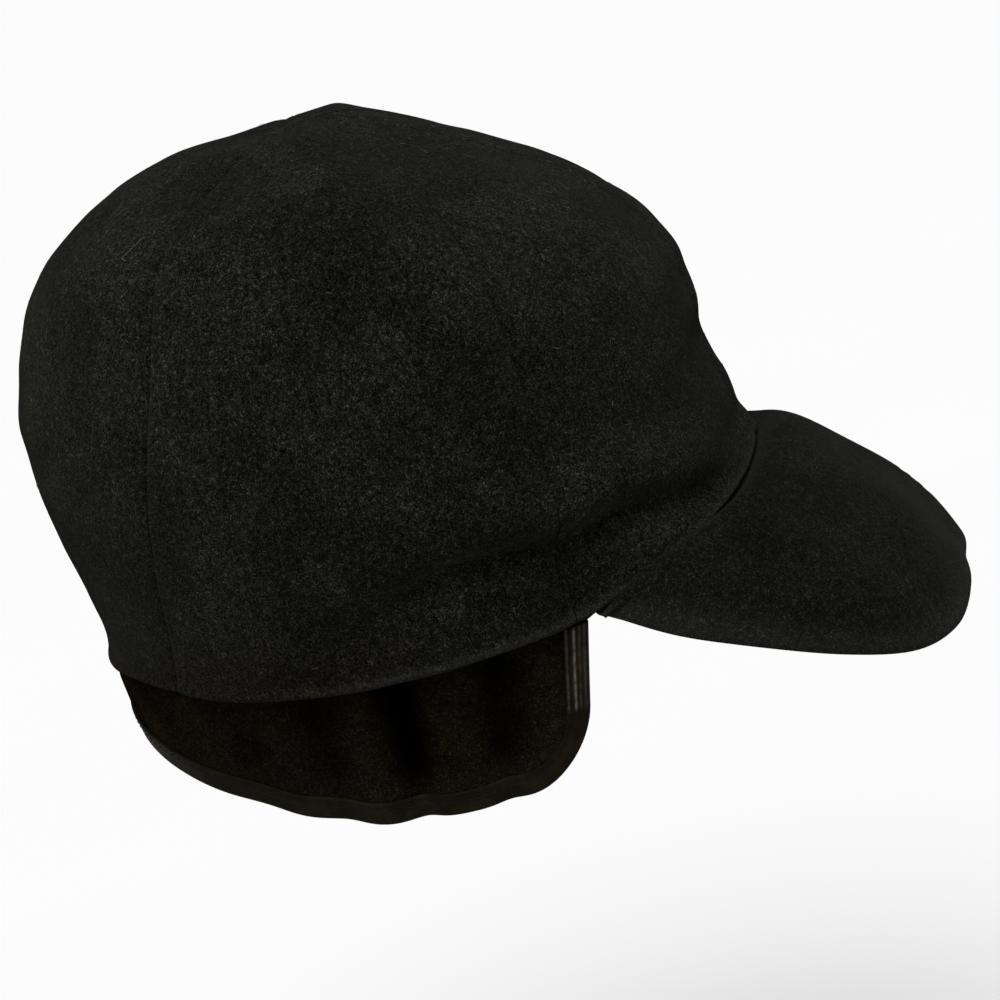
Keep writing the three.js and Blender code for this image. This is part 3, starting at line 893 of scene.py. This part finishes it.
def brim_reach(share):
    """Length of the peak from its seam to its free edge."""
    return np.linalg.norm(hermite(BRIM_FREE_EDGE, (share + 1) / 2) - brim_seam(share), axis=-1)


def brim_relief(share, out, points):
    from_edge = (1 - out) * brim_reach(share)
    rows = sum(BRIM_ROW_DENT * bell(from_edge - row, BRIM_ROW_WIDTH) for row in BRIM_ROWS_IN)
    return ripples(points, BRIM_RIPPLES) - rows


def allowance(seam):
    """The peak's seam allowance, which runs in under the crown's edge and turns up behind it."""
    inward = -unit(seam[:, :2])
    rows = []
    for step in BRIM_ALLOWANCE:
        row = seam.copy()
        row[:, :2] += inward * step["inward"]
        row[:, 2] += step["rise"]
        rows.append(row)
    return np.array(rows)


BRIM_RELIEF_BELOW = 0.5
BRIM_COLUMNS = 181
BRIM_WIDEST = 0.9995
BRIM_ROWS = {"length": 60, "fine": 0.22, "coarse": 0.8, "near": 2.4}


def build_brim():
    share = np.sin(np.linspace(-np.pi / 2, np.pi / 2, BRIM_COLUMNS))[None, :] * BRIM_WIDEST
    along = spacing(**BRIM_ROWS)[::-1]
    out = along[:, None] + 0 * share
    share = share + 0 * out
    points = brim_smooth(share, out)
    normal = brim_normal(share, out)
    reach = brim_reach(share)
    thickness = BRIM_THICKNESS - BRIM_CORNER_THINNING * share**BRIM_CORNER_POWER
    radius = np.minimum(thickness / 2, reach / 4)
    rounded = round_off((1 - out) * reach, radius)
    relief = brim_relief(share, out, points)
    top = points + normal * (relief - rounded)[..., None]
    bottom = points - normal * (thickness + BRIM_RELIEF_BELOW * relief - rounded)[..., None]
    rub_and_painted_light = BRIM_EDGE_RUB * bell((1 - out) * reach, BRIM_EDGE_RUB_WIDTH)
    rub_and_painted_light = np.concatenate([rub_and_painted_light, np.zeros((len(BRIM_ALLOWANCE), rub_and_painted_light.shape[1]))])
    top = np.concatenate([top, allowance(top[-1])])
    bottom = np.concatenate([bottom, allowance(bottom[-1])])
    piece = shell_piece("brim_cloth", top, bottom, PEAK_WOOL, rub_and_painted_light)
    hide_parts("brim")
    return piece


BRIM_STITCHED_TO = 0.99
BRIM_STITCH_POINTS = 600
BRIM_STITCH_MARGIN = 2.5
BRIM_STITCH_SUNK = -0.06


def build_brim_stitches():
    strands = Strands()
    for row in BRIM_ROWS_IN:
        share = np.linspace(-BRIM_STITCHED_TO, BRIM_STITCHED_TO, BRIM_STITCH_POINTS)
        reach = brim_reach(share)
        share = share[reach > row + BRIM_STITCH_MARGIN]
        out = 1 - row / brim_reach(share)
        points = brim_smooth(share, out)
        normal = brim_normal(share, out)
        line = points + normal * brim_relief(share, out, points)[:, None]
        add_stitches(strands, line, normal, BRIM_STITCH_SUNK)
    return strands.piece("brim_topstitches", THREAD, "peak_wool")


# Ear flap and its edging


def flap_depth(angle):
    behind = np.clip(np.minimum(angle, 360 - angle) - 90, 0, 90)
    share = np.sin(np.radians(behind)) ** FLAP_DEPTH_POWER
    return FLAP_DEPTH_SIDE + (FLAP_DEPTH_BACK - FLAP_DEPTH_SIDE) * share


def flap_fold_move(angle, drop):
    near = np.minimum(angle, 360 - angle)
    folds = sum(-fold["depth"] * bell(near - fold["angle"], fold["width"]) for fold in FLAP_FOLDS)
    return np.clip(drop / FOLD_FADE, 0, 1) * folds


def flap_swell(angle, drop):
    near = np.minimum(angle, 360 - angle)
    share = np.clip((near - FLAP_SWELL_FROM) / (FLAP_SWELL_FULL - FLAP_SWELL_FROM), 0, 1)
    below = 1 - np.exp(-np.maximum(drop + FLAP_SWELL_ABOVE, 0) / FLAP_SWELL_DROP)
    return FLAP_SWELL * share**2 * (3 - 2 * share) * below


def flap_smooth(angle, drop):
    lean = 1 + FLAP_LEAN * (1 - drop / FLAP_DEPTH_SIDE) / (180 - FLAP_FRONT)
    turned = 180 + (angle - 180) * lean
    part = part_at(np.maximum(-drop, 0))
    inset = FLAP_INSET + FLAP_TAPER * np.maximum(drop, 0)
    inset = inset - flap_fold_move(angle, drop) - flap_swell(angle, drop)
    square = square_front_at(np.maximum(-drop, 0))
    x, y = section_plan(front_at(part) - inset, back_at(part) - inset, half_at(part) - inset, turned, square)
    return np.stack([x, y, -drop + 0 * x], -1)


FLAP_STEP = 0.3


def flap_normal(angle, drop):
    return surface_normal(flap_smooth, angle, drop, FLAP_STEP, -FLAP_STEP)


def flap_point(angle, drop, offset):
    return flap_smooth(angle, drop) + flap_normal(angle, drop) * np.asarray(offset)[..., None]


def flap_edge_drop(angle):
    along = np.radians(np.minimum(angle, 360 - angle) - FLAP_FRONT) * FLAP_MEAN_RADIUS
    in_corner = np.maximum(FLAP_CORNER - along, 0)
    return flap_depth(angle) - (FLAP_CORNER - np.sqrt(np.maximum(FLAP_CORNER**2 - in_corner**2, 0)))


CORNER_STEPS = 28
BACK_STEPS = 230


def flap_angles():
    corner_span = np.degrees(FLAP_CORNER / FLAP_MEAN_RADIUS)
    turn = np.arange(CORNER_STEPS) / CORNER_STEPS * (np.pi / 2)
    corner = FLAP_FRONT + corner_span * (1 - np.cos(turn))
    rest = np.linspace(FLAP_FRONT + corner_span, 180, BACK_STEPS)
    half = np.concatenate([corner, rest])
    return np.concatenate([half, 360 - half[-2::-1]])


# Painted shade deep in the flap's folds, and painted light near its lower edge.
FOLD_PAINTED_SHADE = 0.2
FOLD_SHADE_SPREAD = 1.25
FLAP_EDGE_PAINTED_LIGHT = 0.5
FLAP_EDGE_PAINTED_LIGHT_WIDTH = 9


def flap_painted_light_and_shade(angle, drop):
    """Painted light and shade on the flap's outer face: below nought, painted shade deep in the folds; above
    it, painted light near the lower edge, as if the upper flap lay in the rim's shadow.
    """
    near = np.minimum(angle, 360 - angle)
    folds = [(fold["depth"], near - fold["angle"], FOLD_SHADE_SPREAD * fold["width"]) for fold in FLAP_FOLDS]
    fold_shade = sum(depth * bell(beside, width) for depth, beside, width in folds)
    above_edge = flap_edge_drop(angle) - drop
    lit = bell(above_edge, FLAP_EDGE_PAINTED_LIGHT_WIDTH)
    return FLAP_EDGE_PAINTED_LIGHT * lit - FOLD_PAINTED_SHADE * fold_shade * (1 - lit)


FLAP_ROWS = 46
FLAT_BY_EDGING = 4


def build_flap():
    angle = flap_angles()[None, :]
    along = np.linspace(0, 1, FLAP_ROWS)[:, None]
    drop = flap_edge_drop(angle) * (1 - along) - FLAP_TUCK * along
    angle = angle + 0 * drop
    relief = ripples(flap_smooth(angle, drop), FLAP_RIPPLES)
    relief = relief * np.clip((flap_edge_drop(angle) - drop - BINDING_WIDTH) / FLAT_BY_EDGING, 0, 1)
    outer = flap_point(angle, drop, relief)
    inner = flap_point(angle, drop, relief - FLAP_THICKNESS)
    # The flap's painted shade in the folds and painted light near the lower edge ride on the rub attribute.
    rub_and_painted_light = flap_painted_light_and_shade(angle, drop)
    piece = shell_piece("ear_flap_cloth", outer, inner, FLAP_WOOL, rub_and_painted_light)
    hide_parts("ear_flap")
    return piece


FRONT_STEPS = 30


def flap_edge_line(angle_of_lower):
    """Angles and drops along the flap's free edge: down its front, round below and up the other front."""
    corner_drop = float(flap_edge_drop(np.array(FLAP_FRONT)))
    front = np.linspace(BINDING_TOP, corner_drop, FRONT_STEPS, endpoint=False)
    angles = np.concatenate([0 * front + FLAP_FRONT, angle_of_lower, 0 * front + 360 - FLAP_FRONT])
    drops = np.concatenate([front, flap_edge_drop(angle_of_lower), front[::-1]])
    return angles, drops


def edge_frame(angles, drops):
    """For each place on the edge: degrees and drop per millimetre inward."""
    along = np.radians(np.gradient(angles)) * FLAP_MEAN_RADIUS
    down = np.gradient(drops)
    length = np.hypot(along, down)
    return np.degrees(down / length / FLAP_MEAN_RADIUS), along / length


# Grooves pressed along the edging, and the ribs between them with the wear and painted highlight on each.
EDGING_LINES = (
    {"inward": 4.4, "depth": 0.25, "width": 0.45},
    {"inward": 2.4, "depth": 0.25, "width": 0.35},
    {"inward": 1.0, "depth": 0.2, "width": 0.3},
    {"inward": -0.3, "depth": 0.15, "width": 0.3},
)
EDGING_RIBS = (
    {"inward": 5.3, "rub_and_painted_light": 0.4, "width": 0.3},
    {"inward": 3.2, "rub_and_painted_light": 1.0, "width": 0.36},
    {"inward": 1.7, "rub_and_painted_light": 0.22, "width": 0.35},
    {"inward": 0.35, "rub_and_painted_light": 0.26, "width": 0.4},
    {"inward": -0.9, "rub_and_painted_light": 0.3, "width": 0.3},
)
FRONT_UPRIGHT_LENGTH = 27
LOWER_RUB = 0.02
LOWER_GROOVES = 0.3
EDGING_ROUND = 1.1
EDGING_LIP = 0.35
FACE_STEPS = 44
BEND_STEPS = 7
UPRIGHT_FADE = 1.2
UPRIGHT_SPAN = 4
UPRIGHT_EASE = 2
EDGING_STITCH_LIFT = 0.02


def edging_profile():
    """Outline of the folded strip: inward from the cloth's edge, and offset out from its face."""
    outside = BINDING_GAP + BINDING_LEATHER
    back = -FLAP_THICKNESS
    inward = np.linspace(BINDING_WIDTH, -outside + EDGING_ROUND, FACE_STEPS)
    lip = round_off(BINDING_WIDTH - inward, EDGING_LIP)
    face = np.stack([inward, outside - lip], -1)
    turn = np.linspace(np.pi / 2, 0, BEND_STEPS)[1:-1]
    bend = np.stack([-np.cos(turn), np.sin(turn)], -1) * EDGING_ROUND
    bend = bend + (-outside + EDGING_ROUND, outside - EDGING_ROUND)
    middle = np.array([[-outside, back / 2]])
    half = np.vstack([face, bend])
    other = half[::-1] * (1, -1) + (0, back)
    inner = np.array(
        [
            [BINDING_WIDTH, back - BINDING_GAP],
            [-BINDING_GAP, back - BINDING_GAP],
            [-BINDING_GAP, BINDING_GAP],
            [BINDING_WIDTH, BINDING_GAP],
        ]
    )
    return np.vstack([half, middle, other, inner])


def edging_upright(drop, angle):
    """One down the upright front stretches of the edging, nought along its lower edge."""
    upright = np.clip((FRONT_UPRIGHT_LENGTH - drop) / UPRIGHT_FADE, 0, 1)
    behind_front = np.minimum(angle, 360 - angle) - FLAP_FRONT
    return upright * np.clip((UPRIGHT_SPAN - behind_front) / UPRIGHT_EASE, 0, 1)


def edging_rub_and_highlight(inward, upright):
    """Wear and painted highlight on the edging's outer face: strong where it is upright, where the highlight
    is painted, slight along the lower edge.
    """
    ribs = sum(rib["rub_and_painted_light"] * bell(inward - rib["inward"], rib["width"]) for rib in EDGING_RIBS)
    return ribs * np.maximum(upright, LOWER_RUB)


def edging_grooves(profile):
    """How far the grooves press each place of the outline towards the cloth, as a change of its offset."""
    inward, offset = profile.T
    lines = sum(line["depth"] * bell(inward - line["inward"], line["width"]) for line in EDGING_LINES)
    on_outer = offset > 2 * BINDING_GAP
    on_inner = offset < -FLAP_THICKNESS - 2 * BINDING_GAP
    return lines * on_inner - lines * on_outer


def build_edging():
    angles, drops = flap_edge_line(flap_angles())
    degrees_in, drop_in = edge_frame(angles, drops)
    profile = edging_profile()
    angle = angles[:, None] + profile[None, :, 0] * degrees_in[:, None]
    drop = drops[:, None] - profile[None, :, 0] * drop_in[:, None]
    upright = edging_upright(drops, angles)[:, None]
    grooves = edging_grooves(profile)[None, :] * (LOWER_GROOVES + (1 - LOWER_GROOVES) * upright)
    points = flap_point(angle, drop, profile[None, :, 1] + grooves)
    rings, sides = points.shape[:2]
    outer_face = profile[:, 1] > 0
    # The ribs' paleness: wear, and a painted highlight on the upright front stretches.
    rub_and_painted_light = np.where(outer_face, edging_rub_and_highlight(profile[None, :, 0], upright), 0)
    index = np.arange(rings * sides).reshape(rings, sides)
    beside = np.roll(index, -1, 1)
    quads = np.stack([index[:-1], index[1:], beside[1:], beside[:-1]], -1).reshape(-1, 4).tolist()
    caps = [index[0].tolist(), index[-1][::-1].tolist()]
    faces = quads + caps
    points = points.reshape(-1, 3)
    piece = new_piece("flap_binding_leather", points, faces, EDGING, rub_and_painted_light.ravel())
    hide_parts("flap_binding")
    return piece


def build_edging_stitches():
    strands = Strands()
    angles, drops = flap_edge_line(flap_angles())
    degrees_in, drop_in = edge_frame(angles, drops)
    inward = EDGING_LINES[0]["inward"]
    angle = angles + inward * degrees_in
    drop = drops - inward * drop_in
    pressed = LOWER_GROOVES + (1 - LOWER_GROOVES) * edging_upright(drops, angles)
    offset = BINDING_GAP + BINDING_LEATHER - EDGING_LINES[0]["depth"] * pressed
    line = flap_point(angle, drop, offset + 0 * angle)
    add_stitches(strands, line, flap_normal(angle, drop), EDGING_STITCH_LIFT)
    return strands.piece("edging_stitches", THREAD, "edging_leather")


def declare_flap(flap, on_its_edge):
    """The flap is one sheet that hangs from the crown, its width taking in the part tucked inside the rim.
    This works out its line along the rim and does nothing more with it.
    """
    angles = flap_angles()
    line = flap_smooth(angles, 0 * angles)


# Lint

HAIR = {"angle": 127.5, "height": 126, "length": 9, "curl": 2.3, "radius": 0.09, "points": 26}
HAIR_WAVE = {"turns": 5.2, "narrowing": 0.45, "sway": 0.8, "swings": 8}
SPECKS = {"count": 230, "seed": 5, "parts": (0.03, 0.9), "lengths": (0.4, 2.2), "radii": (0.035, 0.065)}
SPECK_BEND = 0.4
SPECK_POINTS = 5
FIBRE_SIDES = 5
FIBRE_LIFT = 0.12
FIBRE_PARTS = (0.02, 0.97)
FIBRE_TURN_RADIUS = 20.0


def build_lint():
    """One curled hair at the back of the crown, and loose specks and short fibres over the cloth."""
    strands = Strands()
    chance = np.random.default_rng(SPECKS["seed"])
    for _ in range(SPECKS["count"]):
        angle = chance.uniform(-180, 180)
        part = chance.uniform(*SPECKS["parts"])
        length = chance.uniform(*SPECKS["lengths"])
        turn = chance.uniform(0, np.pi)
        bend = chance.uniform(-1, 1)
        step = np.linspace(-0.5, 0.5, SPECK_POINTS) * length
        sideways = step * np.cos(turn) + bend * step**2 * SPECK_BEND
        upward = step * np.sin(turn)
        add_fibre(strands, angle, part, sideways, upward, chance.uniform(*SPECKS["radii"]))
    curl = np.linspace(0, 1, HAIR["points"])
    narrowed = 1 - HAIR_WAVE["narrowing"] * curl
    sideways = HAIR["curl"] * np.sin(curl * HAIR_WAVE["turns"]) * narrowed
    upward = (curl - 0.5) * HAIR["length"] + HAIR_WAVE["sway"] * np.cos(curl * HAIR_WAVE["swings"])
    add_fibre(strands, HAIR["angle"], part_at(HAIR["height"]), sideways, upward, HAIR["radius"])
    return strands.piece("lint", LINT, "crown_wool")


def add_fibre(strands, angle, part, sideways, upward, radius):
    """A fibre on the crown, its points given in millimetres sideways and up from a place."""
    round_here = float(plan_radius(np.array(angle), np.array(part)))
    angles = angle + np.degrees(sideways / max(round_here, FIBRE_TURN_RADIUS))
    parts = np.clip(part + upward / PROFILE_LENGTH, *FIBRE_PARTS)
    normals = crown_normal(angles, parts)
    line = crown_point(angles, parts, np.full(len(parts), FAR_FROM_SEAM)) + normals * FIBRE_LIFT
    strands.add(line, normals, radius, FIBRE_SIDES)


# Stage

CAMERA_BACK = Vector((-0.9445, -0.1999, 0.2608))
CAMERA_ROLL = 16.33
CAMERA_DISTANCE = 0.9
CAMERA_LENS = 106.6
CAMERA_SHIFT = (0.0716, 0.074)
CAMERA_SENSOR = 36
CAMERA_SEES = 50
FLOOR_LIGHT = (0.5, 0.5, 0.5)
FLOOR_HEIGHT = -0.32
FLOOR_REACH = 20
SKY_STRENGTH = 0.62
KEY_LIGHT = {"towards": (0.62, 0.04, -1), "strength": 5.0, "softness": 42}


def build_camera():
    back = CAMERA_BACK.normalized()
    right = Vector((0, 0, 1)).cross(back).normalized()
    up = back.cross(right)
    roll = math.radians(CAMERA_ROLL)
    rolled_right = right * math.cos(roll) - up * math.sin(roll)
    rolled_up = right * math.sin(roll) + up * math.cos(roll)
    camera = bpy.data.objects.new("camera", bpy.data.cameras.new("camera"))
    bpy.context.scene.collection.objects.link(camera)
    turn = Matrix((rolled_right, rolled_up, back)).transposed()
    camera.matrix_world = Matrix.Translation(back * CAMERA_DISTANCE) @ turn.to_4x4()
    camera.data.lens = CAMERA_LENS
    camera.data.sensor_width = CAMERA_SENSOR
    camera.data.shift_x, camera.data.shift_y = CAMERA_SHIFT
    camera.data.clip_end = CAMERA_SEES
    bpy.context.scene.camera = camera


def build_floor():
    mesh = bpy.data.meshes.new("floor")
    reach = FLOOR_REACH
    corners = [(-reach, -reach, 0), (reach, -reach, 0), (reach, reach, 0), (-reach, reach, 0)]
    mesh.from_pydata(corners, [], [(0, 1, 2, 3)])
    floor = bpy.data.objects.new("floor", mesh)
    floor.location.z = FLOOR_HEIGHT
    bpy.context.scene.collection.objects.link(floor)
    floor.data.materials.append(floor_finish("floor_finish", FLOOR_LIGHT))


def build_sun(name, towards, strength, softness):
    """A wide, soft light that is even over the whole floor."""
    lamp = bpy.data.lights.new(name, "SUN")
    lamp.energy = strength
    lamp.angle = math.radians(softness)
    light = bpy.data.objects.new(name, lamp)
    light.rotation_euler = Vector(towards).to_track_quat("-Z", "Y").to_euler()
    bpy.context.scene.collection.objects.link(light)


def build_world():
    world = bpy.data.worlds.new("studio")
    bpy.context.scene.world = world
    world.use_nodes = True
    background = world.node_tree.nodes["Background"]
    background.inputs["Color"].default_value = (1, 1, 1, 1)
    background.inputs["Strength"].default_value = SKY_STRENGTH


build_camera()
build_floor()
build_world()
build_sun("key_light", **KEY_LIGHT)
bpy.context.scene.view_settings.view_transform = "Standard"

for gore_row in GORES:
    build_gore(gore_row)
build_crown_stitches()
build_brim()
build_brim_stitches()
declare_flap(build_flap(), [build_edging(), build_edging_stitches()])
build_lint()
